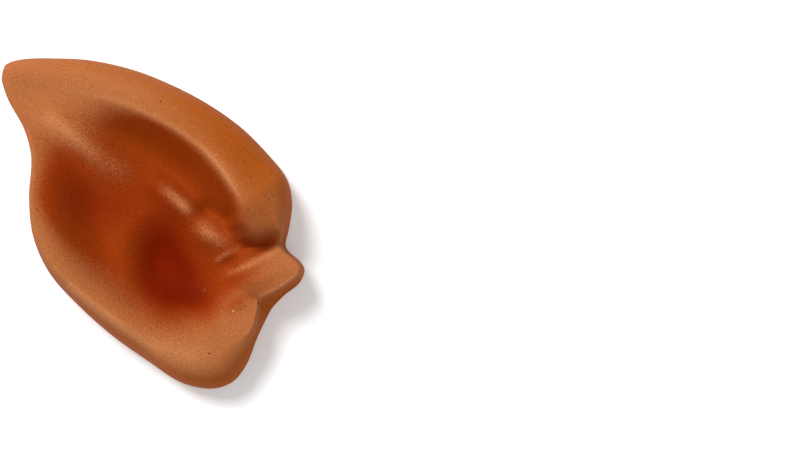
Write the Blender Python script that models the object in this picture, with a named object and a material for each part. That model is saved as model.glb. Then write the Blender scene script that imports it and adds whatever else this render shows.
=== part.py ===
"""A pointed elf ear of poured latex, worn over the wearer's own ear.

The ear is one hollow casting with an open back. It lies on its flat trimmed edge with its face up.
Metres, +Z up out of the face, +Y towards the top of the ear and +X towards the wearer's cheek.
The origin is on the ground, under the middle of the ear.
"""

from collections import namedtuple

import bmesh
import bpy
import numpy as np

# Overall sizes
EAR_WIDTH = 0.096
EAR_HEIGHT = 0.105
EAR_DEPTH = 0.028

# The latex and its trimmed back edge
WALL = 0.002
BACK_TURN = 0.004
EDGE_WIDTH = 0.005

# The middle of the bowl, where all sections meet, as shares of the ear's width and height
BOWL_X = 0.572
BOWL_Y = 0.420

# The level of the ear's floor between its folds, as a share of the depth
FLOOR = 0.49

# How the rim rolls from its crest to the outline: 2 is an ellipse, more is squarer
RIM_ROUNDNESS = 2.6

# How strongly the rings crowd towards the crest of the rim
RING_CROWDING = 1.5

# Mesh of the solid
STEPS_PER_SECTION = 3
FACE_RINGS = 24
RIM_RINGS = 5
TURN_RINGS = 3
INSIDE_FACE_RINGS = 12
INSIDE_RIM_RINGS = 3

# Samples of the face that the inside is worked out from, and points along each fold's path
SAMPLE_STEPS = 12
SAMPLE_FACE_RINGS = 70
SAMPLE_RIM_RINGS = 20
FOLD_SAMPLES = 49

# How far along a section the inset lines are looked for, as a share of its length, and in how many samples
INSET_LIMIT = 0.4
INSET_SAMPLES = 121

# Sections from the bowl to the outline, clockwise as seen from the front.
# x and y are where a section meets the outline, as shares of the ear's width and height.
# crest is the height of the rim and side the height where the outline is widest, as shares of the depth.
# The rest are shares of the section's length: the crest runs from the shelf to the lip, where the rim
# starts to roll down, and the foot is where the slope up from the floor starts.
Section = namedtuple("Section", "name x y crest lip shelf foot side")
SECTIONS = (
    Section("tip_end", 0.000, 0.952, 0.54, 0.80, 0.72, 0.46, 0.22),
    Section("tip_upper", 0.013, 0.980, 0.555, 0.80, 0.72, 0.47, 0.24),
    Section("top_1", 0.073, 0.996, 0.61, 0.81, 0.74, 0.52, 0.28),
    Section("top_2", 0.178, 0.999, 0.68, 0.83, 0.78, 0.58, 0.31),
    Section("top_3", 0.291, 0.992, 0.75, 0.82, 0.80, 0.60, 0.33),
    Section("top_4", 0.430, 0.964, 0.83, 0.797, 0.785, 0.60, 0.34),
    Section("helix_1", 0.562, 0.917, 0.90, 0.775, 0.765, 0.59, 0.34),
    Section("helix_2", 0.688, 0.857, 0.95, 0.745, 0.735, 0.56, 0.34),
    Section("helix_3", 0.797, 0.784, 0.99, 0.70, 0.685, 0.51, 0.34),
    Section("helix_4", 0.886, 0.701, 1.00, 0.655, 0.64, 0.46, 0.34),
    Section("helix_5", 0.942, 0.634, 0.98, 0.61, 0.59, 0.42, 0.33),
    Section("helix_6", 0.959, 0.562, 0.90, 0.60, 0.58, 0.42, 0.31),
    Section("helix_end", 0.949, 0.486, 0.66, 0.64, 0.62, 0.46, 0.27),
    Section("crease", 0.936, 0.433, 0.42, 0.86, 0.80, 0.50, 0.22),
    Section("tragus_1", 0.959, 0.411, 0.50, 0.88, 0.72, 0.50, 0.22),
    Section("tragus_2", 0.990, 0.387, 0.62, 0.93, 0.66, 0.42, 0.24),
    Section("tragus_tip", 1.000, 0.358, 0.67, 0.955, 0.62, 0.40, 0.24),
    Section("tragus_3", 0.982, 0.319, 0.67, 0.92, 0.66, 0.40, 0.24),
    Section("tragus_4", 0.932, 0.282, 0.61, 0.89, 0.76, 0.45, 0.22),
    Section("notch", 0.879, 0.228, 0.44, 0.90, 0.82, 0.50, 0.18),
    Section("lobe_1", 0.843, 0.154, 0.60, 0.92, 0.66, 0.46, 0.17),
    Section("lobe_2", 0.807, 0.072, 0.67, 0.80, 0.60, 0.42, 0.17),
    Section("lobe_3", 0.760, 0.020, 0.69, 0.77, 0.56, 0.40, 0.17),
    Section("lobe_end", 0.688, 0.000, 0.70, 0.77, 0.56, 0.40, 0.17),
    Section("lobe_4", 0.588, 0.020, 0.71, 0.77, 0.60, 0.40, 0.17),
    Section("back_1", 0.483, 0.082, 0.73, 0.79, 0.70, 0.40, 0.17),
    Section("back_2", 0.364, 0.159, 0.77, 0.83, 0.79, 0.42, 0.18),
    Section("back_3", 0.251, 0.251, 0.81, 0.87, 0.85, 0.46, 0.20),
    Section("back_4", 0.159, 0.352, 0.84, 0.90, 0.89, 0.52, 0.22),
    Section("back_5", 0.106, 0.461, 0.85, 0.94, 0.93, 0.58, 0.25),
    Section("back_6", 0.090, 0.577, 0.84, 0.95, 0.94, 0.62, 0.27),
    Section("back_7", 0.097, 0.698, 0.78, 0.95, 0.94, 0.64, 0.28),
    Section("tip_lower_1", 0.073, 0.785, 0.70, 0.90, 0.88, 0.62, 0.27),
    Section("tip_lower_2", 0.026, 0.867, 0.61, 0.85, 0.80, 0.54, 0.24),
    Section("tip_lower_3", 0.002, 0.918, 0.56, 0.82, 0.75, 0.48, 0.22),
)

# Folds of the face. Each follows a smooth path through three points, in shares of the ear's width and height.
# rise is the fold's height at each point, as a share of the depth, and a hollow is negative.
# reach is how far the fold spreads from its path, as a share of the ear's width.
Fold = namedtuple("Fold", "name x1 y1 x2 y2 x3 y3 rise1 rise2 rise3 reach")
FOLDS = (
    Fold("bowl", 0.542, 0.480, 0.562, 0.396, 0.648, 0.314, -0.30, -0.36, -0.28, 0.086),
    Fold("bowl_side", 0.671, 0.450, 0.698, 0.384, 0.727, 0.314, -0.10, -0.12, -0.10, 0.090),
    Fold("upper_ridge", 0.159, 0.822, 0.258, 0.746, 0.383, 0.668, 0.04, 0.18, 0.12, 0.056),
    Fold("lower_ridge", 0.456, 0.637, 0.549, 0.601, 0.621, 0.538, 0.06, 0.15, 0.12, 0.036),
    Fold("dimple", 0.668, 0.547, 0.678, 0.538, 0.688, 0.529, -0.08, -0.08, -0.08, 0.030),
    Fold("small_ridge", 0.654, 0.511, 0.688, 0.474, 0.734, 0.441, 0.10, 0.16, 0.08, 0.033),
    Fold("crease_groove", 0.780, 0.414, 0.860, 0.441, 0.932, 0.444, -0.06, -0.14, -0.10, 0.020),
    Fold("tragus_edge", 0.727, 0.347, 0.820, 0.384, 0.926, 0.423, 0.05, 0.08, 0.06, 0.018),
    Fold("notch_channel", 0.787, 0.287, 0.820, 0.272, 0.860, 0.254, -0.06, -0.08, -0.08, 0.023),
    Fold("back_hollow", 0.185, 0.692, 0.225, 0.586, 0.298, 0.435, -0.12, -0.17, -0.12, 0.080),
    Fold("upper_hollow", 0.324, 0.807, 0.489, 0.758, 0.694, 0.631, -0.06, -0.14, -0.12, 0.066),
    Fold("hollow_end", 0.714, 0.616, 0.754, 0.556, 0.774, 0.504, -0.08, -0.10, -0.06, 0.030),
    Fold("bowl_bank", 0.364, 0.646, 0.384, 0.495, 0.489, 0.269, 0.05, 0.07, 0.04, 0.060),
)


def columns(rows, names):
    """The named columns of a table as arrays."""
    return [np.array([getattr(row, name) for row in rows]) for name in names]


def closed_curve(values, knots, steps):
    """Smooth values round the ear: a closed cubic through one value for each section."""
    spans = np.append(np.diff(knots), np.mean(np.diff(knots)))
    slopes = (np.roll(values, -1) - np.roll(values, 1)) / (spans + np.roll(spans, 1))
    share = np.arange(steps) / steps
    start = (1 + 2 * share) * (1 - share) ** 2
    leave = share * (1 - share) ** 2
    end = share**2 * (3 - 2 * share)
    arrive = share**2 * (share - 1)
    curve = (
        np.outer(values, start)
        + np.outer(slopes * spans, leave)
        + np.outer(np.roll(values, -1), end)
        + np.outer(np.roll(slopes, -1) * spans, arrive)
    )
    return curve.ravel()


def plan_place(shares):
    """Points given as shares of the ear's width and height, in metres about the origin."""
    return (np.array(shares) - 0.5) * np.array([EAR_WIDTH, EAR_HEIGHT])


BOWL = plan_place((BOWL_X, BOWL_Y))


def section_lines(steps):
    """Outline points, heights and shares for each section and for the steps between sections."""
    x, y, crest, lip, shelf, foot, side = columns(
        SECTIONS, ("x", "y", "crest", "lip", "shelf", "foot", "side")
    )
    knots = np.append(0.0, np.cumsum(np.hypot(np.diff(x), np.diff(y))))
    outline = np.stack([closed_curve(x, knots, steps), closed_curve(y, knots, steps)], axis=1)
    lowest, highest = outline.min(axis=0), outline.max(axis=0)
    outline = plan_place((outline - lowest) / (highest - lowest))
    crest, lip, shelf, foot, side = (
        closed_curve(values, knots, steps)[:, None] for values in (crest, lip, shelf, foot, side)
    )
    return outline, crest * EAR_DEPTH, lip, shelf, foot, side * EAR_DEPTH


def smooth_step(low, high, values):
    """0 at low, 1 at high and a smooth rise between them."""
    share = np.clip((values - low) / (high - low), 0.0, 1.0)
    return share**2 * (3 - 2 * share)


def through_three(first, middle, last):
    """A smooth run of values through three, which are at its start, middle and end."""
    share = np.linspace(0, 1, FOLD_SAMPLES)
    return (
        first * (1 - share) * (1 - 2 * share)
        + middle * 4 * share * (1 - share)
        + last * share * (2 * share - 1)
    )


def fold_height(fold, points):
    """How far one fold lifts or lowers the face at each point."""
    path = plan_place(
        np.stack([through_three(fold.x1, fold.x2, fold.x3), through_three(fold.y1, fold.y2, fold.y3)], axis=1)
    )
    rise = through_three(fold.rise1, fold.rise2, fold.rise3) * EAR_DEPTH
    reach = fold.reach * EAR_WIDTH
    away = points[..., None, :] - path
    weight = np.exp(-(away**2).sum(axis=-1) / reach**2)
    most = np.exp(-((path - path[FOLD_SAMPLES // 2]) ** 2).sum(axis=-1) / reach**2).sum()
    return (weight * rise).sum(axis=-1) / most


def crowded_rings(count):
    """Shares from 0 to 1 which crowd towards 1."""
    return 1 - (1 - np.arange(count + 1) / count) ** RING_CROWDING


def rim_turn(count):
    """Shares of the way from the lip to the outline, and how much of the crest's height is left there."""
    turn = np.radians(90) * np.arange(1, count + 1) / count
    return np.sin(turn) ** (2 / RIM_ROUNDNESS), np.maximum(np.cos(turn), 0) ** (2 / RIM_ROUNDNESS)


def face_skin(steps, face_rings, rim_rings):
    """The outside of the ear from the bowl to the outline: one row for each section line."""
    outline, crest, lip, shelf, foot, side = section_lines(steps)
    outward, left = rim_turn(rim_rings)
    face_reach = lip * crowded_rings(face_rings)
    reach = np.concatenate([face_reach, lip + (1 - lip) * outward], axis=1)
    plan = BOWL + reach[..., None] * (outline - BOWL)[:, None]
    floor = FLOOR * EAR_DEPTH
    face = floor + (crest - floor) * smooth_step(foot, shelf, face_reach)
    rim = side + (crest - side) * left
    fade = np.append(np.ones(face_rings + 1), left)
    height = np.concatenate([face, rim], axis=1) + fade * sum(fold_height(fold, plan) for fold in FOLDS)
    return joined(plan, height)


def joined(plan, height):
    """Plan points and their heights as points in space."""
    return np.concatenate([plan, height[..., None]], axis=-1)


def drawn_in(outline, distances):
    """The outline moved towards the bowl to where it is each distance away from the ear's edge."""
    share = np.linspace(1.0, INSET_LIMIT, INSET_SAMPLES)
    points = BOWL + share[:, None, None] * (outline - BOWL)
    edge = section_lines(SAMPLE_STEPS)[0]
    clearance = np.stack([np.hypot(*(edge[:, None] - row).transpose(2, 0, 1)).min(axis=0) for row in points])
    drawn = []
    for distance in distances:
        after = np.maximum((clearance >= distance).argmax(axis=0), 1)
        low, high = np.take_along_axis(clearance, np.stack([after - 1, after]), axis=0)
        part = np.clip((distance - low) / np.maximum(high - low, 1e-9), 0, 1)
        reach = share[after - 1] + part * (share[after] - share[after - 1])
        drawn.append(BOWL + reach[:, None] * (outline - BOWL))
    return drawn


def turned_edge(outline, side, turn_rings, lift):
    """The back of the wall, which turns in to the flat edge. lift is 0 for the outside and a wall for the inside."""
    turn = np.append(0, np.radians(90) * np.arange(1, turn_rings + 1) / turn_rings)
    inset = np.append(lift + (BACK_TURN - lift) * (1 - np.cos(turn)), BACK_TURN + EDGE_WIDTH)
    height = np.append(side - (side - lift) * np.sin(turn), np.full((len(side), 1), lift), axis=1)
    return joined(np.stack(drawn_in(outline, inset), axis=1), height)


def under_ball(plan, skin):
    """Heights that keep each point of the inside a wall's thickness under the outside."""
    height = np.empty(len(plan))
    for index, point in enumerate(plan):
        gap = np.hypot(*(skin[:, :2] - point).T)
        near = gap < WALL
        height[index] = (skin[near, 2] - np.sqrt(WALL**2 - gap[near] ** 2)).min()
    return height


def shell_points(steps, face_rings, rim_rings, turn_rings, inside_face_rings, inside_rim_rings):
    """All points of the shell: for each section line, from the bowl over the rim and back inside."""
    outline, _, lip, _, _, side = section_lines(steps)
    outside = face_skin(steps, face_rings, rim_rings)
    outside_edge = turned_edge(outline, side, turn_rings, 0.0)[:, 1:]
    inside_edge = turned_edge(outline, side, turn_rings, WALL)
    outward = rim_turn(inside_rim_rings)[0][:-1]
    reach = np.append(lip * crowded_rings(inside_face_rings), lip + (1 - lip) * outward, axis=1)
    plan = BOWL + reach[..., None] * (inside_edge[:, :1, :2] - BOWL)
    skin = face_skin(SAMPLE_STEPS, SAMPLE_FACE_RINGS, SAMPLE_RIM_RINGS).reshape(-1, 3)
    inside = joined(plan, under_ball(plan.reshape(-1, 2), skin).reshape(reach.shape))
    return np.concatenate([outside, outside_edge, inside_edge[:, ::-1], inside[:, ::-1]], axis=1)


def shell_mesh(name, points):
    """A ball whose rings are drawn out to the shell's sections and pushed back inside it."""
    sections, rings = points.shape[:2]
    mesh = bpy.data.meshes.new(name)
    ball = bmesh.new()
    bmesh.ops.create_uvsphere(ball, u_segments=sections, v_segments=rings - 1, radius=1.0)
    for vertex in ball.verts:
        x, y, z = vertex.co
        ring = round(np.arccos(np.clip(z, -1, 1)) / np.pi * (rings - 1))
        section = -round(np.arctan2(y, x) / (2 * np.pi) * sections) % sections
        vertex.co = points[section, ring]
    for face in ball.faces:
        face.smooth = True
    ball.to_mesh(mesh)
    ball.free()
    return mesh


def latex_material():
    """Tan latex, painted reddish brown in the hollows."""
    material = bpy.data.materials.new("latex")
    material.use_nodes = True
    shader = material.node_tree.nodes["Principled BSDF"]
    shader.inputs["Base Color"].default_value = (0.47, 0.16, 0.06, 1.0)
    shader.inputs["Roughness"].default_value = 0.45
    shader.inputs["Metallic"].default_value = 0.0
    return material


def build_ear():
    """Clears the scene and makes the ear's one piece."""
    for old in list(bpy.data.objects):
        bpy.data.objects.remove(old, do_unlink=True)
    collection = bpy.data.collections.new("elf_ear")
    bpy.context.scene.collection.children.link(collection)
    points = shell_points(
        STEPS_PER_SECTION, FACE_RINGS, RIM_RINGS, TURN_RINGS, INSIDE_FACE_RINGS, INSIDE_RIM_RINGS
    )
    mesh = shell_mesh("ear_shell", points)
    mesh.materials.append(latex_material())
    ear = bpy.data.objects.new("ear_shell", mesh)
    collection.objects.link(ear)


build_ear()
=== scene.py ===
# %% [markdown]
# # An elf ear of painted latex
#
# This lesson dresses one pointed costume ear. The real thing is a hollow latex casting: liquid
# latex is poured into a plaster mould, dries to a skin about 2 mm thick, is trimmed to a flat
# edge and is then sprayed by hand. Here it lies on its flat edge with its face up, as it does
# on a table before it is worn. We load the solid model as a fixed frame and build round it.

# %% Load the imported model
from collections import namedtuple

import bpy
import numpy as np
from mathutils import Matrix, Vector
from mathutils.kdtree import KDTree


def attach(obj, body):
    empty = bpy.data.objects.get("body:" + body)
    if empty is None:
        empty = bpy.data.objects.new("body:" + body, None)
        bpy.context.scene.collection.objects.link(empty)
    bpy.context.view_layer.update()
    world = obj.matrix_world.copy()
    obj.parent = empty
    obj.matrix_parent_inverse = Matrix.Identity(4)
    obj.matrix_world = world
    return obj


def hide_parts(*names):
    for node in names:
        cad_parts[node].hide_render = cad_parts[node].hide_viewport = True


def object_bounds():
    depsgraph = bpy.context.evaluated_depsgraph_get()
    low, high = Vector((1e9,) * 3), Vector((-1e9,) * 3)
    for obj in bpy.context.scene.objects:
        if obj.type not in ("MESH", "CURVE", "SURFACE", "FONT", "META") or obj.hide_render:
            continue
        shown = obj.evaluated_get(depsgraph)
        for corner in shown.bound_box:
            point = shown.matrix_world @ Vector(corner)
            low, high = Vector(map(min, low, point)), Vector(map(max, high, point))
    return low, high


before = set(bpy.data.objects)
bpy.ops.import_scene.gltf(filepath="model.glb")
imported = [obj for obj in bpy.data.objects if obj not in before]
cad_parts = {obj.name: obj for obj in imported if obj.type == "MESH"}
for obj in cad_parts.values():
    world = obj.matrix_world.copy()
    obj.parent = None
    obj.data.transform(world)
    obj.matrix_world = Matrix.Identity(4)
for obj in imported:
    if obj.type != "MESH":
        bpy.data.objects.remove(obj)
CAD_LOW, CAD_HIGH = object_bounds()
EAR_WIDTH, EAR_HEIGHT, EAR_DEPTH = CAD_HIGH - CAD_LOW
print("the packed ear is", [round(side * 1000, 1) for side in (EAR_WIDTH, EAR_HEIGHT, EAR_DEPTH)], "mm")

# %% [markdown]
# ## The camera
#
# The ear is seen from straight above, flat on. A long lens from far away keeps its walls from
# leaning outwards, which a short lens close by would do. We know how much of the table one
# pixel of the picture covers, so the height of the camera follows from the lens.

# %% Camera
PICTURE_WIDTH, PICTURE_HEIGHT = 800, 449
EAR_LEFT, EAR_BOTTOM = 2.0, 389.0
EAR_PIXELS = 302.5
PIXEL = EAR_WIDTH / EAR_PIXELS
LENS = 300.0
SENSOR = 36.0
EYE_LEVEL = 0.008


def table_place(pixel_x, pixel_y):
    """The place on the table that a pixel of the picture shows."""
    return Vector((
        CAD_LOW.x + (pixel_x - EAR_LEFT) * PIXEL,
        CAD_LOW.y + (EAR_BOTTOM - pixel_y) * PIXEL,
        0.0,
    ))


camera_data = bpy.data.cameras.new("camera")
camera_data.lens = LENS
camera_data.sensor_width = SENSOR
camera = bpy.data.objects.new("camera", camera_data)
camera.location = table_place(PICTURE_WIDTH / 2, PICTURE_HEIGHT / 2)
camera.location.z = EYE_LEVEL + PICTURE_WIDTH * PIXEL * LENS / SENSOR
bpy.context.scene.collection.objects.link(camera)
bpy.context.scene.camera = camera
print("the camera hangs", round(camera.location.z, 2), "m above the table")

# %% [markdown]
# ## Light and table
#
# Relief only shows when the light comes from one side. A wide soft sun from the upper left of
# the picture draws a satin line along each ridge and leaves the hollows dark, and a weak sun from
# the lower right and a pale world fill the shadows. Suns light the table evenly as far as it
# goes, so the floor stays pale from any side. The table also glows a little, for the camera
# alone, which keeps the ear's shadow pale and adds no light to the ear. The Standard view keeps
# the paint's colours as they are mixed, where a filmic one would wash them out.

# %% Light, world and table
KEY_FROM = Vector((-0.52, 0.64, 0.95))
KEY_SPREAD = 27.0
KEY_STRENGTH = 3.4
FILL_FROM = Vector((0.7, -0.9, 0.7))
FILL_SPREAD = 40.0
FILL_STRENGTH = 0.28
WORLD_STRENGTH = 0.42
TABLE_REACH = 12.0
TABLE_GLOW = 0.22
TABLE_WHITE = (0.9, 0.9, 0.9, 1.0)


def sun(name, towards, spread, strength):
    """A far soft light that shines on the ear from one direction, as wide as its spread."""
    data = bpy.data.lights.new(name, "SUN")
    data.angle = np.radians(spread)
    data.energy = strength
    made = bpy.data.objects.new(name, data)
    made.rotation_euler = (-towards).to_track_quat("-Z", "Y").to_euler()
    bpy.context.scene.collection.objects.link(made)


sun("key_light", KEY_FROM, KEY_SPREAD, KEY_STRENGTH)
sun("fill_light", FILL_FROM, FILL_SPREAD, FILL_STRENGTH)
world = bpy.data.worlds.new("studio")
world.use_nodes = True
world.node_tree.nodes["Background"].inputs["Color"].default_value = (1.0, 1.0, 1.0, 1.0)
world.node_tree.nodes["Background"].inputs["Strength"].default_value = WORLD_STRENGTH
bpy.context.scene.world = world
bpy.context.scene.view_settings.view_transform = "Standard"

table_mesh = bpy.data.meshes.new("table")
corners = [(x * TABLE_REACH, y * TABLE_REACH, 0) for x, y in ((-1, -1), (1, -1), (1, 1), (-1, 1))]
table_mesh.from_pydata(corners, [], [(0, 1, 2, 3)])
table = bpy.data.objects.new("table", table_mesh)
bpy.context.scene.collection.objects.link(table)
table_paint = bpy.data.materials.new("table_paint")
table_paint.use_nodes = True
table_shader = table_paint.node_tree.nodes["Principled BSDF"]
table_shader.inputs["Base Color"].default_value = TABLE_WHITE
table_shader.inputs["Specular IOR Level"].default_value = 0.0
table_shader.inputs["Emission Color"].default_value = (TABLE_GLOW, TABLE_GLOW, TABLE_GLOW, 1.0)
seen_directly = table_paint.node_tree.nodes.new("ShaderNodeLightPath").outputs["Is Camera Ray"]
table_paint.node_tree.links.new(seen_directly, table_shader.inputs["Emission Strength"])
table_mesh.materials.append(table_paint)

# %% [markdown]
# ## The shape: sections round the bowl
#
# An ear has no axis to turn it about and no straight edge to extrude. But every point of its face
# can be reached by a straight line from the middle of the bowl, so we draw such lines, like the
# ribs of a fan, and give each a profile: a floor, a slope up to the rim's crest, a roll down to
# the outline. Smooth curves between the sections give all the ribs that lie between them.

# %% Table of sections
BOWL_X, BOWL_Y = 0.572, 0.420
FLOOR = 0.49

# x and y are where a section meets the outline, as shares of the ear's width and height.
# crest and side are heights, as shares of the depth. lip, shelf and foot are shares of the
# section's length. roll says how the rim falls: 1 is straight, 2 is round and 3 nearly square.
# crisp says how sharply the slope turns over at the shelf, from 0 to 1, and how strong the pale
# line of worn paint and painted highlight along the lip is. painted and bare are where the full
# coat of red-brown paint ends and where it is gone, as shares of the length.
# dusted is how much umber paint the outer wall has, from 0 to 1.
Section = namedtuple(
    "Section", "name x y crest lip shelf foot side roll crisp painted bare dusted"
)
SECTIONS = (
    Section("tip_end", 0.000, 0.952, 0.54, 0.90, 0.78, 0.38, 0.28, 3.8, 0.0, 0.50, 0.78, 0.3),
    Section("tip_upper", 0.013, 0.980, 0.555, 0.89, 0.77, 0.40, 0.28, 3.4, 0.0, 0.52, 0.78, 0.1),
    Section("top_1", 0.073, 0.996, 0.60, 0.86, 0.78, 0.45, 0.28, 2.8, 0.0, 0.58, 0.83, 0.0),
    Section("top_2", 0.179, 0.998, 0.66, 0.82, 0.78, 0.49, 0.29, 2.5, 0.3, 0.54, 0.83, 0.2),
    Section("top_3", 0.291, 0.992, 0.73, 0.80, 0.785, 0.50, 0.30, 2.2, 0.8, 0.64, 0.81, 0.3),
    Section("top_4", 0.430, 0.964, 0.80, 0.772, 0.762, 0.46, 0.31, 2.1, 1.0, 0.70, 0.775, 0.4),
    Section("helix_1", 0.562, 0.917, 0.86, 0.748, 0.743, 0.42, 0.31, 2.0, 1.0, 0.68, 0.755, 0.5),
    Section("helix_2", 0.688, 0.856, 0.91, 0.718, 0.713, 0.38, 0.31, 2.0, 1.0, 0.64, 0.73, 0.7),
    Section("helix_3", 0.797, 0.784, 0.96, 0.680, 0.675, 0.37, 0.31, 2.0, 1.0, 0.60, 0.695, 0.8),
    Section("helix_4", 0.886, 0.701, 0.99, 0.645, 0.640, 0.38, 0.30, 2.1, 0.8, 0.56, 0.67, 0.8),
    Section("helix_5", 0.942, 0.634, 0.99, 0.64, 0.63, 0.40, 0.28, 2.7, 0.0, 0.48, 0.70, 0.9),
    Section("helix_6", 0.959, 0.562, 0.92, 0.82, 0.64, 0.40, 0.26, 2.0, 0.0, 0.46, 0.74, 1.0),
    Section("helix_end", 0.949, 0.486, 0.79, 0.92, 0.76, 0.44, 0.24, 1.6, 0.0, 0.48, 0.85, 1.0),
    Section("crease", 0.937, 0.434, 0.55, 0.94, 0.84, 0.50, 0.20, 1.6, 0.0, 0.60, 1.05, 1.0),
    Section("tragus_1", 0.951, 0.412, 0.57, 0.94, 0.72, 0.46, 0.20, 2.0, 0.0, 0.46, 0.98, 0.8),
    Section("tragus_2", 0.984, 0.386, 0.60, 0.94, 0.66, 0.38, 0.22, 2.2, 0.0, 0.42, 0.92, 0.8),
    Section("tragus_tip", 1.000, 0.358, 0.62, 0.96, 0.62, 0.36, 0.22, 2.0, 0.0, 0.40, 0.90, 0.9),
    Section("tragus_3", 0.982, 0.319, 0.64, 0.92, 0.64, 0.38, 0.14, 1.2, 0.0, 0.42, 0.92, 1.0),
    Section("tragus_4", 0.932, 0.282, 0.64, 0.90, 0.72, 0.42, 0.12, 1.0, 0.0, 0.48, 0.96, 1.0),
    Section("corner", 0.894, 0.246, 0.61, 0.855, 0.76, 0.45, 0.12, 1.0, 0.0, 0.48, 0.94, 1.0),
    Section("notch", 0.878, 0.222, 0.61, 0.89, 0.76, 0.45, 0.12, 1.2, 0.0, 0.47, 0.90, 1.0),
    Section("lobe_1", 0.843, 0.154, 0.62, 0.91, 0.74, 0.42, 0.13, 2.0, 0.0, 0.44, 0.80, 1.0),
    Section("lobe_2", 0.807, 0.073, 0.65, 0.79, 0.68, 0.36, 0.14, 2.1, 0.0, 0.42, 0.76, 0.9),
    Section("lobe_3", 0.760, 0.020, 0.68, 0.76, 0.66, 0.34, 0.15, 2.1, 0.0, 0.38, 0.74, 0.9),
    Section("lobe_end", 0.688, 0.000, 0.69, 0.76, 0.66, 0.32, 0.15, 2.1, 0.0, 0.33, 0.74, 0.9),
    Section("lobe_4", 0.588, 0.020, 0.70, 0.77, 0.68, 0.34, 0.15, 2.0, 0.0, 0.36, 0.84, 0.9),
    Section("back_1", 0.483, 0.082, 0.72, 0.79, 0.74, 0.36, 0.15, 1.9, 0.2, 0.42, 0.93, 0.9),
    Section("back_2", 0.364, 0.159, 0.76, 0.83, 0.81, 0.40, 0.16, 1.8, 0.4, 0.38, 0.96, 0.9),
    Section("back_3", 0.251, 0.251, 0.80, 0.87, 0.86, 0.38, 0.18, 1.8, 0.5, 0.38, 0.95, 0.9),
    Section("back_4", 0.155, 0.350, 0.83, 0.91, 0.90, 0.39, 0.20, 2.0, 0.3, 0.46, 0.95, 0.7),
    Section("back_5", 0.103, 0.460, 0.83, 0.945, 0.93, 0.41, 0.24, 2.4, 0.1, 0.66, 0.97, 0.7),
    Section("back_6", 0.090, 0.577, 0.82, 0.955, 0.94, 0.45, 0.27, 2.6, 0.0, 0.84, 1.02, 0.7),
    Section("back_7", 0.097, 0.698, 0.75, 0.955, 0.94, 0.46, 0.27, 2.8, 0.0, 0.82, 1.02, 0.6),
    Section("tip_lower_1", 0.073, 0.785, 0.65, 0.94, 0.90, 0.44, 0.28, 3.2, 0.0, 0.70, 1.00, 0.5),
    Section("tip_lower_2", 0.023, 0.867, 0.58, 0.92, 0.84, 0.40, 0.28, 3.6, 0.0, 0.58, 0.88, 0.5),
    Section("tip_lower_3", 0.002, 0.918, 0.55, 0.91, 0.80, 0.38, 0.28, 3.8, 0.0, 0.52, 0.80, 0.4),
)

# %% [markdown]
# ## The folds of the face
#
# The ridges and hollows between the bowl and the rim are strokes: each follows a short curved
# path and lifts or lowers the face, most on the path and less to the sides. Adding strokes is
# how a sculptor lays rolls of clay on a base and blends them in. We sum a soft dab at many
# points of the path, so that a stroke has no edge and fades at its ends.

# %% Table of folds
# Points are shares of the ear's width and height, rises are shares of its depth and reach, the
# distance that the stroke spreads, is a share of its width.
Fold = namedtuple("Fold", "name x1 y1 x2 y2 x3 y3 rise1 rise2 rise3 reach")
FOLDS = (
    Fold("bowl", 0.540, 0.468, 0.518, 0.352, 0.645, 0.288, -0.22, -0.24, -0.22, 0.080),
    Fold("bowl_side", 0.640, 0.440, 0.655, 0.360, 0.714, 0.295, -0.10, -0.12, -0.10, 0.090),
    Fold("bowl_bank", 0.489, 0.535, 0.400, 0.402, 0.535, 0.226, 0.02, 0.03, 0.03, 0.040),
    Fold("upper_ridge", 0.119, 0.855, 0.245, 0.762, 0.397, 0.665, 0.04, 0.12, 0.05, 0.056),
    Fold("lower_ridge", 0.489, 0.631, 0.562, 0.583, 0.628, 0.526, 0.06, 0.11, 0.06, 0.042),
    Fold("dimple", 0.671, 0.547, 0.678, 0.541, 0.688, 0.535, -0.06, -0.06, -0.06, 0.030),
    Fold("small_ridge", 0.651, 0.488, 0.700, 0.458, 0.760, 0.425, 0.07, 0.10, 0.05, 0.040),
    Fold("small_crest", 0.701, 0.384, 0.737, 0.402, 0.774, 0.423, 0.01, 0.018, 0.01, 0.018),
    Fold("channel", 0.737, 0.366, 0.810, 0.399, 0.896, 0.438, -0.02, -0.05, -0.04, 0.030),
    Fold("tragus_edge", 0.740, 0.344, 0.826, 0.375, 0.919, 0.423, 0.01, 0.03, 0.03, 0.018),
    Fold("tragus_plate", 0.797, 0.314, 0.866, 0.341, 0.945, 0.372, 0.03, 0.06, 0.05, 0.050),
    Fold("groove", 0.830, 0.438, 0.880, 0.450, 0.915, 0.463, -0.01, -0.02, -0.02, 0.024),
    Fold("bulge_edge", 0.932, 0.540, 0.928, 0.490, 0.920, 0.446, 0.01, 0.02, 0.02, 0.010),
    Fold("notch_channel", 0.805, 0.284, 0.830, 0.275, 0.852, 0.266, 0.00, -0.02, -0.04, 0.012),
    Fold("back_hollow", 0.212, 0.692, 0.251, 0.556, 0.350, 0.384, -0.02, -0.04, -0.03, 0.125),
    Fold("middle", 0.350, 0.640, 0.380, 0.500, 0.420, 0.330, -0.04, -0.06, -0.03, 0.090),
    Fold("upper_hollow", 0.324, 0.798, 0.489, 0.737, 0.681, 0.616, -0.02, -0.07, -0.06, 0.075),
    Fold("hollow_end", 0.721, 0.616, 0.757, 0.556, 0.774, 0.505, -0.04, -0.05, -0.02, 0.030),
)

# %% [markdown]
# ## From tables to points
#
# The helpers below turn the tables into a grid of points, one row for each rib. We use NumPy,
# which works out thousands of points in one line, where a Python loop would take minutes.

# %% Curves through the sections
def plan_place(shares):
    """Points given as shares of the ear's width and height, in metres from its middle."""
    return (np.array(shares) - 0.5) * np.array([EAR_WIDTH, EAR_HEIGHT])


BOWL = plan_place((BOWL_X, BOWL_Y))


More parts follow.
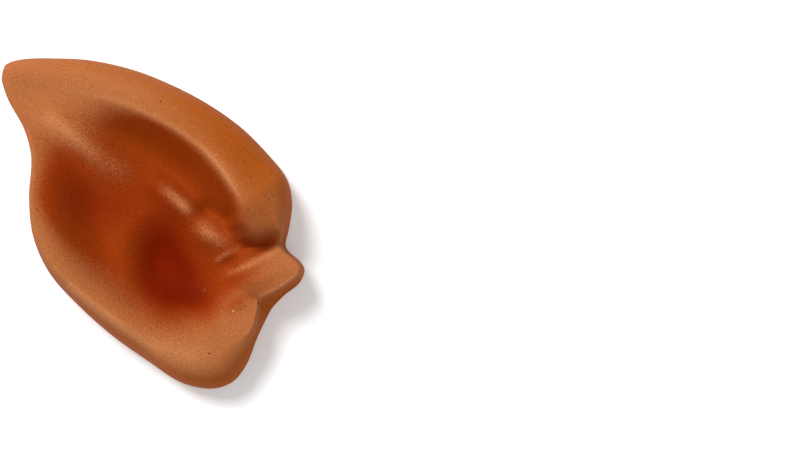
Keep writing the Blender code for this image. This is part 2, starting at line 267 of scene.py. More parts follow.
def column(name):
    """One column of the table of sections."""
    return np.array([getattr(section, name) for section in SECTIONS])


def closed_curve(values, knots, steps):
    """Smooth values round the ear: a closed cubic through one value for each section."""
    spans = np.append(np.diff(knots), np.mean(np.diff(knots)))
    slopes = (np.roll(values, -1) - np.roll(values, 1)) / (spans + np.roll(spans, 1))
    share = np.arange(steps) / steps
    curve = (
        np.outer(values, (1 + 2 * share) * (1 - share) ** 2)
        + np.outer(slopes * spans, share * (1 - share) ** 2)
        + np.outer(np.roll(values, -1), share**2 * (3 - 2 * share))
        + np.outer(np.roll(slopes, -1) * spans, share**2 * (share - 1))
    )
    return curve.ravel()


def ribs(steps):
    """The outline and the profile's values for each section and the steps between sections."""
    x, y = column("x"), column("y")
    knots = np.append(0.0, np.cumsum(np.hypot(np.diff(x), np.diff(y))))
    outline = np.stack([closed_curve(x, knots, steps), closed_curve(y, knots, steps)], axis=1)
    lowest, highest = outline.min(axis=0), outline.max(axis=0)
    outline = plan_place((outline - lowest) / (highest - lowest))
    names = Section._fields[3:]
    return outline, {name: closed_curve(column(name), knots, steps)[:, None] for name in names}


# %% Strokes of relief
FOLD_SAMPLES = 49


def through_three(first, middle, last):
    """A smooth run of values through three, at its start, middle and end."""
    share = np.linspace(0, 1, FOLD_SAMPLES)
    return (
        first * (1 - share) * (1 - 2 * share)
        + middle * 4 * share * (1 - share)
        + last * share * (2 * share - 1)
    )


def stroke(row, strengths, points):
    """A soft stroke along a row's path: its strength at each point."""
    path = plan_place(np.stack(
        [through_three(row.x1, row.x2, row.x3), through_three(row.y1, row.y2, row.y3)], axis=1
    ))
    reach = row.reach * EAR_WIDTH
    total = np.zeros(points.shape[:-1])
    for place, strength in zip(path, through_three(*strengths)):
        total += strength * np.exp(-((points - place) ** 2).sum(axis=-1) / reach**2)
    middle = path[FOLD_SAMPLES // 2]
    return total / np.exp(-((path - middle) ** 2).sum(axis=-1) / reach**2).sum()


# %% The profile of a rib
SOFT_TURN = 0.035
RING_CROWDING = 1.3


def soft_slope(share):
    """A rise from 0 to 1 which starts and ends level and unbent."""
    share = np.clip(share, 0, 1)
    return share**3 * (10 - 15 * share + 6 * share**2)


def crisp_slope(share):
    """A rise from 0 to 1 which starts level and turns over sharply at the top."""
    share = np.maximum(share, 0)
    rise = np.where(share < 1, share**2 * (2 - share), share)
    return -SOFT_TURN * np.log(np.exp(-rise / SOFT_TURN) + np.exp(-1 / SOFT_TURN))


def face_points(steps, face_rings, rim_rings):
    """The outside of the ear from the bowl to the outline, one row for each rib."""
    outline, rib = ribs(steps)
    crowded = 1 - (1 - np.arange(face_rings + 1) / face_rings) ** RING_CROWDING
    turn = np.radians(90) * np.arange(1, rim_rings + 1) / rim_rings
    outward = np.sin(turn) ** (2 / rib["roll"])
    left = np.maximum(np.cos(turn), 0) ** (2 / rib["roll"])
    face_reach = rib["lip"] * crowded
    reach = np.concatenate([face_reach, rib["lip"] + (1 - rib["lip"]) * outward], axis=1)
    plan = BOWL + reach[..., None] * (outline - BOWL)[:, None]

    up = (face_reach - rib["foot"]) / (rib["shelf"] - rib["foot"])
    slope = soft_slope(up) * (1 - rib["crisp"]) + crisp_slope(up) * rib["crisp"]
    top = (slope[:, -1:] * (rib["crest"] - FLOOR)) + FLOOR
    face = FLOOR + (rib["crest"] - FLOOR) * slope
    rim = rib["side"] + (top - rib["side"]) * left
    fade = np.append(np.ones_like(face), left, axis=1)
    folds = sum(stroke(fold, (fold.rise1, fold.rise2, fold.rise3), plan) for fold in FOLDS)
    height = np.append(face, rim, axis=1) + fade * folds
    return np.append(plan, height[..., None] * EAR_DEPTH, axis=-1), reach


# %% [markdown]
# ## The wall behind the face
#
# A poured skin has the same thickness everywhere. Its inside is the surface that a ball as big as
# the wall touches when it rolls under the face, so sharp folds outside come out soft inside, as
# they do in real latex. Round the back the wall turns in to a flat edge, which is glued to the
# skin.

# %% The inside and the flat edge
WALL = 0.002
BACK_TURN = 0.004
EDGE_WIDTH = 0.005
INSET_SAMPLES = 121
INSET_LIMIT = 0.4


def drawn_in(outline, distances):
    """The outline moved towards the bowl to where it is each distance away from the ear's edge."""
    share = np.linspace(1.0, INSET_LIMIT, INSET_SAMPLES)
    clearance = []
    for reach in share:
        row = BOWL + reach * (outline - BOWL)
        clearance.append(np.hypot(*(outline[:, None] - row).transpose(2, 0, 1)).min(axis=0))
    clearance = np.stack(clearance)
    drawn = []
    for distance in distances:
        after = np.maximum((clearance >= distance).argmax(axis=0), 1)
        low, high = np.take_along_axis(clearance, np.stack([after - 1, after]), axis=0)
        part = np.clip((distance - low) / np.maximum(high - low, 1e-9), 0, 1)
        reach = share[after - 1] + part * (share[after] - share[after - 1])
        drawn.append(BOWL + reach[:, None] * (outline - BOWL))
    return np.stack(drawn, axis=1)


def turned_edge(outline, side, turn_rings, lift):
    """The back of the wall and the flat edge. lift is 0 outside and a wall's thickness inside."""
    turn = np.radians(90) * np.arange(turn_rings + 1) / turn_rings
    inset = np.append(lift + (BACK_TURN - lift) * (1 - np.cos(turn)), BACK_TURN + EDGE_WIDTH)
    height = np.append(side - (side - lift) * np.sin(turn), np.full((len(side), 1), lift), axis=1)
    return np.append(drawn_in(outline, inset), height[..., None], axis=-1)


def under_ball(plan, skin):
    """Heights that keep the inside a wall's thickness under the outside."""
    finder = KDTree(len(skin))
    for index, (x, y, _) in enumerate(skin):
        finder.insert((x, y, 0.0), index)
    finder.balance()
    height = []
    for x, y in plan:
        near = finder.find_range((x, y, 0.0), WALL)
        height.append(min(skin[index, 2] - (WALL**2 - gap**2) ** 0.5 for _, index, gap in near))
    return np.array(height)


# %% The whole grid
STEPS = 12
FACE_RINGS = 84
RIM_RINGS = 24
TURN_RINGS = 10
INSIDE_RINGS = 26

outline, rib = ribs(STEPS)
side = rib["side"] * EAR_DEPTH
face_grid, face_reach = face_points(STEPS, FACE_RINGS, RIM_RINGS)
edge_grid = turned_edge(outline, side, TURN_RINGS, 0.0)[:, 1:]
inside_edge_grid = turned_edge(outline, side, TURN_RINGS, WALL)
crowded = 1 - (1 - np.arange(INSIDE_RINGS) / INSIDE_RINGS) ** RING_CROWDING
inside_plan = BOWL + crowded[:, None] * (inside_edge_grid[:, :1, :2] - BOWL)
inside_height = under_ball(inside_plan.reshape(-1, 2), face_grid.reshape(-1, 3))
inside_grid = np.append(inside_plan, inside_height.reshape(len(outline), -1, 1), axis=-1)
grid = np.concatenate(
    [face_grid, edge_grid, inside_edge_grid[:, ::-1], inside_grid[:, ::-1]], axis=1
)
print(len(outline), "ribs of", grid.shape[1], "points")

# %% [markdown]
# ## The mesh
#
# The grid becomes faces between neighbouring ribs. All ribs start at one point in the middle of
# the bowl and end at one point behind it, so each end is closed with a ring of triangles and the
# skin has no open edge.

# %% Faces between the ribs
def shell(name, grid):
    """A closed skin from a grid of points, with one row for each rib."""
    count, length = grid.shape[:2]
    points = np.concatenate([grid[:, 1:-1].reshape(-1, 3), grid[:1, 0], grid[:1, -1]])
    inner = length - 2
    start, end = count * inner, count * inner + 1
    faces = []
    for rib_index in range(count):
        here, there = rib_index * inner, (rib_index + 1) % count * inner
        faces.append((start, there, here))
        faces.extend((here + k, there + k, there + k + 1, here + k + 1) for k in range(inner - 1))
        faces.append((end, here + inner - 1, there + inner - 1))
    mesh = bpy.data.meshes.new(name)
    mesh.from_pydata(points.tolist(), [], faces)
    mesh.shade_smooth()
    made = bpy.data.objects.new(name, mesh)
    bpy.context.scene.collection.objects.link(made)
    return made


ear = shell("ear_skin", grid)
print("ear_skin:", len(ear.data.polygons), "faces")

# %% [markdown]
# ## Where the paint goes
#
# The casting is tinted tan, and a sprayer works on it in coats: umber over the upper rim, a more
# orange umber down the wall, red-brown in the hollows, and brown, red and deep red, which lie on
# the red-brown only. Some passes are painted shade as well as paint: the umber darkens the helix
# band and the bulge where they turn from the light, red-brown and brown darken the crease under
# the bulge, its right wall and the channel above the tragus, and red lays a painted shadow along
# the bowl's left and lower edge. Last, a pale tan goes on ridges and edges, paint worn thin by
# rubbing and painted highlights. A spray has no edge and follows a hand's sweep, so each pass is
# a soft stroke like those of the relief. Some coats go by the shape as well: the red-brown ends
# where the table of sections says, the wall's follows the fall of the rim, and a thin pale one
# lies just above the table. We keep the amount of each coat at every point of the mesh as an
# attribute, which the material reads.

# %% Table of sprayed passes
# Points and reach are as in the table of folds. Amounts are shares of a full coat, and an amount
# over 1 makes the coat full for some way to both sides of its path.
Pass = namedtuple("Pass", "name x1 y1 x2 y2 x3 y3 amount1 amount2 amount3 reach")
# A pale tan on ridges, edges, the helix lip, the rim and the lobe: paint worn thin by rubbing, and painted
# highlights where each ridge catches the light.
WORN_AND_HIGHLIGHT_PASSES = (
    Pass("upper_ridge", 0.150, 0.825, 0.225, 0.766, 0.312, 0.705, 0.50, 0.70, 0.40, 0.026),
    Pass("ridge_bank", 0.200, 0.825, 0.250, 0.792, 0.315, 0.750, 0.10, 0.35, 0.15, 0.036),
    Pass("ridge_tail", 0.300, 0.705, 0.355, 0.676, 0.420, 0.655, 0.15, 0.25, 0.10, 0.034),
    Pass("lower_ridge", 0.536, 0.607, 0.582, 0.571, 0.618, 0.538, 0.25, 0.65, 0.65, 0.017),
    Pass("small_ridge", 0.658, 0.492, 0.690, 0.467, 0.735, 0.440, 0.40, 0.50, 0.35, 0.024),
    Pass("small_crest", 0.708, 0.387, 0.744, 0.409, 0.787, 0.432, 0.20, 0.35, 0.20, 0.008),
    Pass("tragus_edge", 0.740, 0.347, 0.826, 0.380, 0.919, 0.426, 0.10, 0.50, 0.55, 0.011),
    Pass("helix_lip", 0.655, 0.735, 0.722, 0.670, 0.768, 0.602, 0.15, 0.30, 0.30, 0.018),
    Pass("bulge_edge", 0.930, 0.510, 0.927, 0.475, 0.918, 0.443, 0.00, 0.05, 0.20, 0.006),
    Pass("plate_edge", 0.860, 0.284, 0.928, 0.316, 0.982, 0.352, 0.15, 0.40, 0.20, 0.006),
    Pass("lobe", 0.489, 0.148, 0.572, 0.112, 0.661, 0.094, 0.40, 0.50, 0.40, 0.045),
    Pass("rim", 0.225, 0.318, 0.385, 0.200, 0.526, 0.118, 0.60, 0.70, 0.50, 0.013),
)
RUST_AND_CREASE_SHADE_PASSES = (
    # channel, groove and bulge_side are red-brown paint and painted shade: in the crease under the bulge,
    # in the channel above the tragus and on the bulge's shaded right wall. plate and pad_top are paint
    # alone.
    Pass("channel", 0.741, 0.368, 0.820, 0.404, 0.900, 0.438, 0.60, 0.90, 0.70, 0.024),
    Pass("groove", 0.830, 0.444, 0.880, 0.456, 0.915, 0.470, 0.40, 0.55, 0.50, 0.022),
    Pass("plate", 0.800, 0.300, 0.850, 0.330, 0.920, 0.355, 0.60, 0.40, 0.10, 0.050),
    Pass("pad_top", 0.560, 0.205, 0.700, 0.235, 0.800, 0.272, 0.20, 0.45, 0.70, 0.034),
    Pass("bulge_side", 0.974, 0.540, 0.962, 0.480, 0.944, 0.436, 0.70, 1.10, 1.00, 0.010),
)
RED_AND_BANK_SHADOW_PASSES = (
    Pass("bowl", 0.555, 0.530, 0.545, 0.380, 0.650, 0.310, 1.10, 1.30, 1.10, 0.076),
    # bowl_arc is red paint and a painted shadow of the bowl's bank along its left and lower edge.
    Pass("bowl_arc", 0.495, 0.440, 0.492, 0.300, 0.680, 0.270, 0.35, 0.55, 0.80, 0.034),
    Pass("middle", 0.205, 0.640, 0.300, 0.560, 0.450, 0.540, 0.50, 0.50, 0.70, 0.080),
    Pass("upper_middle", 0.370, 0.700, 0.450, 0.650, 0.540, 0.590, 0.25, 0.40, 0.30, 0.055),
)
DEEP_PASSES = (
    Pass("bowl_low", 0.540, 0.330, 0.600, 0.290, 0.680, 0.285, 0.50, 0.80, 0.60, 0.050),
)
BROWN_AND_CREASE_SHADE_PASSES = (
    Pass("hollow", 0.350, 0.780, 0.490, 0.720, 0.640, 0.620, 0.50, 0.68, 0.20, 0.080),
    Pass("centre", 0.340, 0.700, 0.450, 0.600, 0.350, 0.440, 0.50, 0.60, 0.50, 0.075),
    Pass("dimple", 0.640, 0.565, 0.705, 0.545, 0.780, 0.490, 0.50, 0.75, 0.35, 0.042),
    Pass("left_bank", 0.200, 0.500, 0.230, 0.430, 0.320, 0.360, 0.20, 0.15, 0.10, 0.070),
    # The channel pass is brown paint and painted shade in the crease above the tragus.
    Pass("channel", 0.755, 0.394, 0.840, 0.416, 0.926, 0.450, 0.50, 1.10, 1.00, 0.016),
)
# Umber paint that is also painted shade: it grows where the helix band and the bulge turn away from the
# light.
UMBER_AND_SHADE_PASSES = (
    Pass("helix_band", 0.500, 0.880, 0.730, 0.765, 0.880, 0.600, 0.35, 0.95, 1.10, 0.080),
    Pass("helix_end", 0.820, 0.570, 0.870, 0.520, 0.880, 0.480, 0.50, 0.50, 0.30, 0.060),
)


def coat(passes):
    """The amount of one coat at each point of the ear."""
    return sum(
        stroke(row, (row.amount1, row.amount2, row.amount3), ear_points[:, :2]) for row in passes
    )


def keep_attribute(name, values):
    """Stores one number from 0 to 1 for each point of the ear."""
    attribute = ear.data.attributes.new(name, "FLOAT", "POINT")
    attribute.data.foreach_set("value", np.clip(values, 0, 1).astype(np.float32))


def along_ribs(values):
    """One number for each point of the ear from a grid of them, as shell() orders its points."""
    return np.concatenate([values[:, 1:-1].ravel(), values[:1, 0], values[:1, -1]])


# How wide and strong the pale line along crisp lips is: worn paint and a painted highlight.
WORN_LIP_AND_HIGHLIGHT_WIDTH = 0.020
WORN_LIP_AND_HIGHLIGHT_AMOUNT = 0.45
WALL_STARTS = 0.02
WALL_FULL = 0.36
THIN_BELOW = 0.004

ear_points = np.array([vertex.co for vertex in ear.data.vertices])
unseen = grid.shape[1] - face_reach.shape[1]
reach = np.pad(face_reach, ((0, 0), (0, unseen)), constant_values=2.0)
lip_height = face_grid[:, FACE_RINGS, 2:]
fallen = (lip_height - face_grid[..., 2]) / (lip_height - side)
fallen = np.pad(np.where(face_reach > rib["lip"], fallen, 0), ((0, 0), (0, unseen)), constant_values=1.0)
inner_coat = along_ribs(1 - soft_slope((reach - rib["painted"]) / (rib["bare"] - rib["painted"])))
# The pale line along each crisp lip is paint worn thin and a painted highlight.
edge_distance = (reach - rib["lip"]) / WORN_LIP_AND_HIGHLIGHT_WIDTH
worn_lip_and_highlight = along_ribs(WORN_LIP_AND_HIGHLIGHT_AMOUNT * rib["crisp"] * np.exp(-(edge_distance**2)))
wall = along_ribs(rib["dusted"] * soft_slope((fallen - WALL_STARTS) / (WALL_FULL - WALL_STARTS)))
# The red-brown coat: paint in the hollows, with painted shade in the creases from its passes.
rust_and_crease_shade = np.clip(np.maximum(inner_coat, coat(RUST_AND_CREASE_SHADE_PASSES)), 0, 1)
# The pale tan coat holds worn paint and painted highlights.
keep_attribute("worn_and_highlight", coat(WORN_AND_HIGHLIGHT_PASSES) + worn_lip_and_highlight)
keep_attribute("rust_and_crease_shade", rust_and_crease_shade)
# The red coat holds the painted shadow along the bowl's left and lower edge as well as paint.
keep_attribute("red", rust_and_crease_shade * coat(RED_AND_BANK_SHADOW_PASSES))
keep_attribute("deep", rust_and_crease_shade * coat(DEEP_PASSES))
keep_attribute("brown", rust_and_crease_shade * coat(BROWN_AND_CREASE_SHADE_PASSES))
keep_attribute("umber", coat(UMBER_AND_SHADE_PASSES))
keep_attribute("wall", wall)
keep_attribute("thin", 1 - soft_slope(ear_points[:, 2] / THIN_BELOW))
outer_rings = FACE_RINGS + RIM_RINGS + TURN_RINGS + 1
is_outside = np.arange(grid.shape[1]) <= outer_rings
keep_attribute("outside", along_ribs(np.tile(is_outside, (len(outline), 1))))

# %% [markdown]
# ## The latex
#
# Painted latex is matt where the spray dried in the air and has a soft sheen where fingers
# smoothed it. The grain of the spray is finer than half a millimetre.

# %% The latex's material
def node(tree, kind, **values):
    """A new node. A value is a socket to link, a number for a socket, or one of its settings.

    An underscore in a socket's name stands for a space.
    """
    made = tree.nodes.new(kind)
    for key, value in values.items():
        label = key.replace("_", " ")
        if isinstance(value, bpy.types.NodeSocket):
            tree.links.new(value, made.inputs[label])
        elif label in made.inputs.keys():
            made.inputs[label].default_value = value
        else:
            setattr(made, key, value)
    return made


def mixed(tree, factor, first, second, blend="MIX"):
    """A colour mixed from two sockets or fixed colours by a factor."""
    mix = node(tree, "ShaderNodeMix", data_type="RGBA", blend_type=blend)
    for socket, value in ((mix.inputs[0], factor), (mix.inputs[6], first), (mix.inputs[7], second)):
        if isinstance(value, (tuple, float, int)):
            socket.default_value = value
        else:
            tree.links.new(value, socket)
    return mix.outputs[2]


def new_group(name, inputs, outputs):
    """An empty shader group with named inputs and outputs: its tree, group input and output."""
    group = bpy.data.node_groups.new(name, "ShaderNodeTree")
    for label, kind, value in inputs:
        socket = group.interface.new_socket(label, in_out="INPUT", socket_type=kind)
        socket.default_value = value
    for label, kind in outputs:
        group.interface.new_socket(label, in_out="OUTPUT", socket_type=kind)
    return group, node(group, "NodeGroupInput"), node(group, "NodeGroupOutput")


def placed_group(tree, group, **values):
    """A group placed in a material. An input is a fixed value or a socket to link."""
    made = node(tree, "ShaderNodeGroup", node_tree=group)
    for label, value in values.items():
        socket = made.inputs[label.replace("_", " ")]
        if isinstance(value, bpy.types.NodeSocket):
            tree.links.new(value, socket)
        else:
            socket.default_value = value
    return made


def maths(tree, operation, *values, clamp=False):
    """One arithmetic node: its operands are numbers or sockets."""
    made = node(tree, "ShaderNodeMath", operation=operation, use_clamp=clamp)
    for socket, value in zip(made.inputs, values):
        if isinstance(value, bpy.types.NodeSocket):
            tree.links.new(value, socket)
        else:
            socket.default_value = value
    return made.outputs[0]


# %% [markdown]
# ## Drops of spray
#
# Close to, a sprayed coat is a crowd of fine drops. Where the coat is full or missing they can't
# be told apart, and half way they show most, so a fine noise breaks the smooth amount up in that
# way. It is a group of nodes that puts out a cover from 0 to 1. Every coat has the same group,
# with its own amount and its own break-up.

# %% A spray that breaks up into fine drops
def spray_group():
    """Breaks a smooth amount of paint up into drops, most where the coat is half thick."""
    group, given, result = new_group(
        "sprayed_drops",
        (("Amount", "NodeSocketFloat", 0.5), ("Drop Scale", "NodeSocketFloat", 2400.0),
         ("Break Up", "NodeSocketFloat", 1.2), ("Offset", "NodeSocketVector", (0, 0, 0))),
        (("Cover", "NodeSocketFloat"),),
    )
    where = node(group, "ShaderNodeTexCoord").outputs["Object"]
    moved = node(group, "ShaderNodeVectorMath", operation="ADD")
    group.links.new(where, moved.inputs[0])
    group.links.new(given.outputs["Offset"], moved.inputs[1])
    drops = node(group, "ShaderNodeTexNoise", Detail=3.0, Roughness=0.6)
    group.links.new(moved.outputs[0], drops.inputs["Vector"])
    group.links.new(given.outputs["Drop Scale"], drops.inputs["Scale"])
    amount = given.outputs["Amount"]
    centred = maths(group, "SUBTRACT", drops.outputs["Fac"], 0.5)
    uneven = maths(group, "MULTIPLY", centred, given.outputs["Break Up"])
    missing = maths(group, "SUBTRACT", 1.02, amount)
    room = maths(group, "SQRT", maths(group, "MULTIPLY", amount, missing))
    cover = maths(group, "MULTIPLY_ADD", uneven, maths(group, "MULTIPLY", room, 2.0), amount, clamp=True)
    group.links.new(cover, result.inputs["Cover"])
    return group


# %% [markdown]
# ## Grain from the mould
#
# Plaster leaves a fine grain in the latex, and the skin is never quite even. Both are too small
# to model, so a bump gives them: a fine noise for the grain and a wide one for the unevenness. A
# third noise varies the colour a little, like dust in the paint.

# %% Grain in the cast surface
def grain_group():
    """Height for a bump and a value to vary colour by: plaster grain and gentle unevenness."""
    group, given, result = new_group(
        "cast_grain",
        (("Grain Scale", "NodeSocketFloat", 1500.0), ("Swell Scale", "NodeSocketFloat", 160.0),
         ("Swell Share", "NodeSocketFloat", 0.6), ("Dust Scale", "NodeSocketFloat", 2600.0)),
        (("Height", "NodeSocketFloat"), ("Mottle", "NodeSocketFloat"), ("Dust", "NodeSocketFloat")),
    )
    where = node(group, "ShaderNodeTexCoord").outputs["Object"]
    grain = node(group, "ShaderNodeTexNoise", Detail=4.0, Roughness=0.65)
    swell = node(group, "ShaderNodeTexNoise", Detail=2.0, Roughness=0.5)
    specks = node(group, "ShaderNodeTexNoise", Detail=1.0, Roughness=0.5)
    for texture, label in ((grain, "Grain Scale"), (swell, "Swell Scale"), (specks, "Dust Scale")):
        group.links.new(where, texture.inputs["Vector"])
        group.links.new(given.outputs[label], texture.inputs["Scale"])
    height = maths(
        group, "MULTIPLY_ADD", swell.outputs["Fac"], given.outputs["Swell Share"], grain.outputs["Fac"]
    )
    group.links.new(height, result.inputs["Height"])
    group.links.new(swell.outputs["Fac"], result.inputs["Mottle"])
    group.links.new(specks.outputs["Fac"], result.inputs["Dust"])
    return group


SPRAYED_DROPS = spray_group()
CAST_GRAIN = grain_group()

# %% [markdown]
# ## The coats, one over the other
#
# The material lays each coat over the last, broken up into drops and shifted so that no two
# break up alike. The pale tan on the ridges, worn paint and a painted highlight, also shines a
# little more than the rest. The inside of the casting has no paint, so it shows the bare latex.

# %% The painted latex
FLESH = (0.385, 0.131, 0.040, 1.0)
PINK_FLESH = (0.375, 0.114, 0.038, 1.0)
# Umber for the helix band and the bulge, paint and painted shade at once.
UMBER = (0.32, 0.072, 0.0090, 1.0)
WALL_UMBER = (0.36, 0.070, 0.0002, 1.0)
THIN_COAT = (0.44, 0.150, 0.015, 1.0)
# Red-brown, paint in the hollows and painted shade in the creases.
RUST = (0.265, 0.031, 0.0020, 1.0)
BROWN = (0.24, 0.034, 0.0014, 1.0)
RED = (0.175, 0.0078, 0.0001, 1.0)
DEEP_RED = (0.120, 0.0035, 0.0, 1.0)
# A pale tan for worn paint and for painted highlights on the ridges.
WORN_TAN_AND_HIGHLIGHT = (0.52, 0.195, 0.074, 1.0)
BARE_LATEX = (0.55, 0.33, 0.16, 1.0)
SHEEN_TINT = (1.0, 0.48, 0.18, 1.0)
PAINTED_ROUGHNESS = 0.68
RUBBED_ROUGHNESS = 0.38
LATEX_GLOSS = 0.12
GRAIN_DEPTH = 0.00012
DUST = 0.20
DUST_LOW, DUST_HIGH = 0.3, 0.7

latex = bpy.data.materials.new("painted_latex")
latex.use_nodes = True
tree = latex.node_tree
shader = tree.nodes["Principled BSDF"]


def amount_of(name):
    """The socket that reads one stored amount."""
    return node(tree, "ShaderNodeAttribute", attribute_name=name).outputs["Fac"]


grain = placed_group(tree, CAST_GRAIN)
colour = mixed(tree, grain.outputs["Mottle"], FLESH, PINK_FLESH)
# The umber, red-brown, brown and red coats hold painted shade in places, and the last coat holds painted
# highlights as well as worn paint.
coats = (
    ("umber", UMBER, 1.0), ("wall", WALL_UMBER, 1.0), ("thin", THIN_COAT, 1.4), ("rust_and_crease_shade", RUST, 1.6),
    ("brown", BROWN, 1.4), ("red", RED, 1.2), ("deep", DEEP_RED, 1.2), ("worn_and_highlight", WORN_TAN_AND_HIGHLIGHT, 1.8),
)
for index, (name, paint, break_up) in enumerate(coats):
    cover = placed_group(
        tree, SPRAYED_DROPS, Amount=amount_of(name), Break_Up=break_up, Offset=(0.1 * index, 0, 0)
    )
    colour = mixed(tree, cover.outputs["Cover"], colour, paint)
dust = node(tree, "ShaderNodeMapRange")
tree.links.new(grain.outputs["Dust"], dust.inputs["Value"])
for label, value in (
    ("From Min", DUST_LOW), ("From Max", DUST_HIGH), ("To Min", 1 - DUST), ("To Max", 1 + DUST)
):
    dust.inputs[label].default_value = value
shade = node(tree, "ShaderNodeCombineColor")
for label in ("Red", "Green", "Blue"):
    tree.links.new(dust.outputs["Result"], shade.inputs[label])
colour = mixed(tree, 1.0, colour, shade.outputs["Color"], blend="MULTIPLY")
outside = amount_of("outside")
colour = mixed(tree, outside, BARE_LATEX, colour)
tree.links.new(colour, shader.inputs["Base Color"])
roughness = node(tree, "ShaderNodeMapRange")
tree.links.new(amount_of("worn_and_highlight"), roughness.inputs["Value"])
roughness.inputs["To Min"].default_value = PAINTED_ROUGHNESS
roughness.inputs["To Max"].default_value = RUBBED_ROUGHNESS
tree.links.new(roughness.outputs["Result"], shader.inputs["Roughness"])
bump = node(tree, "ShaderNodeBump", Strength=1.0, Distance=GRAIN_DEPTH)
tree.links.new(grain.outputs["Height"], bump.inputs["Height"])
tree.links.new(bump.outputs["Normal"], shader.inputs["Normal"])
shader.inputs["Specular IOR Level"].default_value = LATEX_GLOSS
shader.inputs["Specular Tint"].default_value = SHEEN_TINT
ear.data.materials.append(latex)

# %% [markdown]
# ## Specks of paint and crumbs of latex
#
# A hand-sprayed casting has a few flecks of dried paint on it, and a crumb or two of latex. Each
# is a small flattened drop that sits on the skin. We could model and place every one, but they
# have to lie on a curved surface, so a Geometry Nodes tree does it: it drops the chosen places
# on to the skin along a ray, scatters some smaller ones, and lays a drop flat at each.

# %% A tree that lays drops on a skin
SCATTERED_SIZES = (0.25, 0.5)


def stored(tree, points, name, kind, value):
    """Points that carry a value with them under a name."""
    kept = node(
        tree, "GeometryNodeStoreNamedAttribute", data_type=kind, Geometry=points, Name=name, Value=value
    )
    return kept.outputs["Geometry"]


def speck_tree():
    """Flattened drops on a skin: some below chosen places and smaller ones scattered over it."""
    tree = bpy.data.node_groups.new("specks_on_a_skin", "GeometryNodeTree")
    tree.is_modifier = True
    for label, kind in (
        ("Places", "NodeSocketGeometry"), ("Skin", "NodeSocketObject"), ("Radius", "NodeSocketFloat"),
        ("Flatness", "NodeSocketFloat"), ("Density", "NodeSocketFloat"), ("Seed", "NodeSocketInt"),
        ("Paint", "NodeSocketMaterial"),
    ):
        tree.interface.new_socket(label, in_out="INPUT", socket_type=kind)
    tree.interface.new_socket("Specks", in_out="OUTPUT", socket_type="NodeSocketGeometry")
    given = node(tree, "NodeGroupInput").outputs
    skin = node(tree, "GeometryNodeObjectInfo", Object=given["Skin"]).outputs["Geometry"]

    hit = node(tree, "GeometryNodeRaycast", Target_Geometry=skin, Ray_Direction=(0, 0, -1), Ray_Length=1.0)
    chosen = node(tree, "GeometryNodeMeshToPoints", Mesh=given["Places"]).outputs["Points"]
    chosen = stored(tree, chosen, "facing", "FLOAT_VECTOR", hit.outputs["Hit Normal"])
    chosen = node(tree, "GeometryNodeSetPosition", Geometry=chosen, Position=hit.outputs["Hit Position"])

    outside = node(tree, "GeometryNodeInputNamedAttribute", data_type="FLOAT", Name="outside")
    scatter = node(
        tree, "GeometryNodeDistributePointsOnFaces", Mesh=skin, Density=given["Density"],
        Seed=given["Seed"], Selection=outside.outputs["Attribute"],
    )
    small = node(tree, "FunctionNodeRandomValue", Seed=given["Seed"])
    small.inputs[2].default_value, small.inputs[3].default_value = SCATTERED_SIZES
    scattered = stored(tree, scatter.outputs["Points"], "facing", "FLOAT_VECTOR", scatter.outputs["Normal"])
    scattered = stored(tree, scattered, "size_share", "FLOAT", small.outputs[1])

    both = node(tree, "GeometryNodeJoinGeometry")
    for points in (chosen.outputs["Geometry"], scattered):
        tree.links.new(points, both.inputs[0])
    drop = node(tree, "GeometryNodeMeshIcoSphere", Radius=given["Radius"], Subdivisions=2)
    facing = node(tree, "GeometryNodeInputNamedAttribute", data_type="FLOAT_VECTOR", Name="facing")
    turned = node(tree, "FunctionNodeAlignRotationToVector", axis="Z", Vector=facing.outputs["Attribute"])
    share = node(tree, "GeometryNodeInputNamedAttribute", data_type="FLOAT", Name="size_share")
    share = share.outputs["Attribute"]
    height = maths(tree, "MULTIPLY", share, given["Flatness"])
    size = node(tree, "ShaderNodeCombineXYZ", X=share, Y=share, Z=height)
    drops = node(
        tree, "GeometryNodeInstanceOnPoints", Points=both.outputs[0], Instance=drop.outputs["Mesh"],
        Rotation=turned.outputs["Rotation"], Scale=size.outputs["Vector"],
    )
    solid = node(tree, "GeometryNodeRealizeInstances", Geometry=drops.outputs["Instances"])
    smooth = node(tree, "GeometryNodeSetShadeSmooth", Geometry=solid.outputs["Geometry"])
    painted = node(
        tree, "GeometryNodeSetMaterial", Geometry=smooth.outputs["Geometry"], Material=given["Paint"]
    )
    node(tree, "NodeGroupOutput", Specks=painted.outputs["Geometry"])
    return tree


SPECK_TREE = speck_tree()

# %% The specks and crumbs themselves
# x and y are shares of the ear's width and height, and size is a share of the largest speck.
Speck = namedtuple("Speck", "x y size")
PAINT_SPECKS = (
    Speck(0.774, 0.369, 1.0), Speck(0.671, 0.326, 1.0), Speck(0.688, 0.109, 0.9),
    Speck(0.529, 0.867, 0.8), Speck(0.387, 0.764, 0.8), Speck(0.126, 0.541, 0.8),
    Speck(0.805, 0.686, 0.6), Speck(0.825, 0.642, 0.8), Speck(0.873, 0.583, 0.6),
    Speck(0.886, 0.576, 0.7), Speck(0.902, 0.582, 0.6), Speck(0.884, 0.556, 0.6),
    Speck(0.856, 0.542, 0.5), Speck(0.864, 0.590, 0.6), Speck(0.823, 0.538, 0.6),
)
LATEX_CRUMBS = (Speck(0.767, 0.236, 1.0),)
SPECK_RADIUS = 0.00032
SPECK_FLATNESS = 0.4
SPECK_ROUGHNESS = 0.7
SPECK_GLOSS = 0.1
SPECK_MOTTLE_SCALE = 900.0
SPECK_SHADE = 0.6
SPECKS_PER_SQUARE_METRE, SPECK_SEED = 5000.0, 4
CRUMBS_PER_SQUARE_METRE, CRUMB_SEED = 300.0, 9
DRIED_PAINT = (0.16, 0.022, 0.003, 1.0)
CRUMB_LATEX = (0.70, 0.42, 0.22, 1.0)


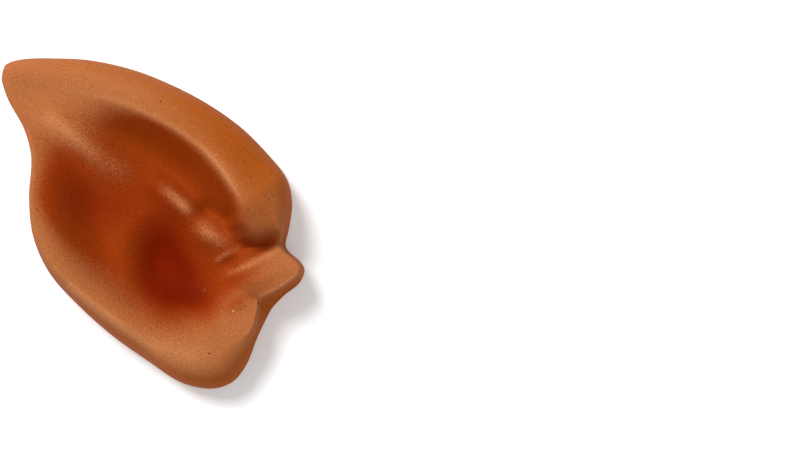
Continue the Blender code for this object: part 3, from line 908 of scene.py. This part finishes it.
def speck_material(name, paint):
    """Dried paint or latex, a little darker in places."""
    made = bpy.data.materials.new(name)
    made.use_nodes = True
    tree = made.node_tree
    shader = tree.nodes["Principled BSDF"]
    mottle = placed_group(tree, CAST_GRAIN, Swell_Scale=SPECK_MOTTLE_SCALE).outputs["Mottle"]
    darker = (*(SPECK_SHADE * part for part in paint[:3]), 1.0)
    tree.links.new(mixed(tree, mottle, darker, paint), shader.inputs["Base Color"])
    shader.inputs["Roughness"].default_value = SPECK_ROUGHNESS
    shader.inputs["Specular IOR Level"].default_value = SPECK_GLOSS
    return made


def specks(name, rows, density, seed, paint):
    """One mesh of drops on the ear: the rows' own and some scattered ones."""
    places = plan_place([(row.x, row.y) for row in rows])
    mesh = bpy.data.meshes.new(name)
    mesh.from_pydata([(x, y, 2 * EAR_DEPTH) for x, y in places], [], [])
    sizes = mesh.attributes.new("size_share", "FLOAT", "POINT")
    sizes.data.foreach_set("value", [row.size for row in rows])
    made = bpy.data.objects.new(name, mesh)
    bpy.context.scene.collection.objects.link(made)
    modifier = made.modifiers.new("specks", "NODES")
    modifier.node_group = SPECK_TREE
    settings = {
        "Skin": ear, "Radius": SPECK_RADIUS, "Flatness": SPECK_FLATNESS, "Density": density,
        "Seed": seed, "Paint": speck_material(name + "_paint", paint),
    }
    for socket in SPECK_TREE.interface.items_tree:
        if socket.name in settings:
            modifier[socket.identifier] = settings[socket.name]
    graph = bpy.context.evaluated_depsgraph_get()
    plain = bpy.data.meshes.new_from_object(made.evaluated_get(graph))
    made.modifiers.clear()
    made.data = plain
    # An ico sphere brings an empty material slot with it, which comes first.
    if plain.materials[0] is None:
        plain.materials.pop(index=0)
    print(name + ":", len(plain.polygons), "faces,", plain.materials[0].name)
    return made


paint_specks = specks(
    "paint_specks", PAINT_SPECKS, SPECKS_PER_SQUARE_METRE, SPECK_SEED, DRIED_PAINT
)
latex_crumbs = specks(
    "latex_crumbs", LATEX_CRUMBS, CRUMBS_PER_SQUARE_METRE, CRUMB_SEED, CRUMB_LATEX
)

# %% [markdown]
# ## Bodies
#
# The whole ear is one body, so every piece rides on it. The new skin stands in for the plain
# solid, which keeps its job of touching things in the motion model.

# %% Bodies and the end
for piece in (ear, paint_specks, latex_crumbs):
    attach(piece, "root")
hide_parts("ear_shell")
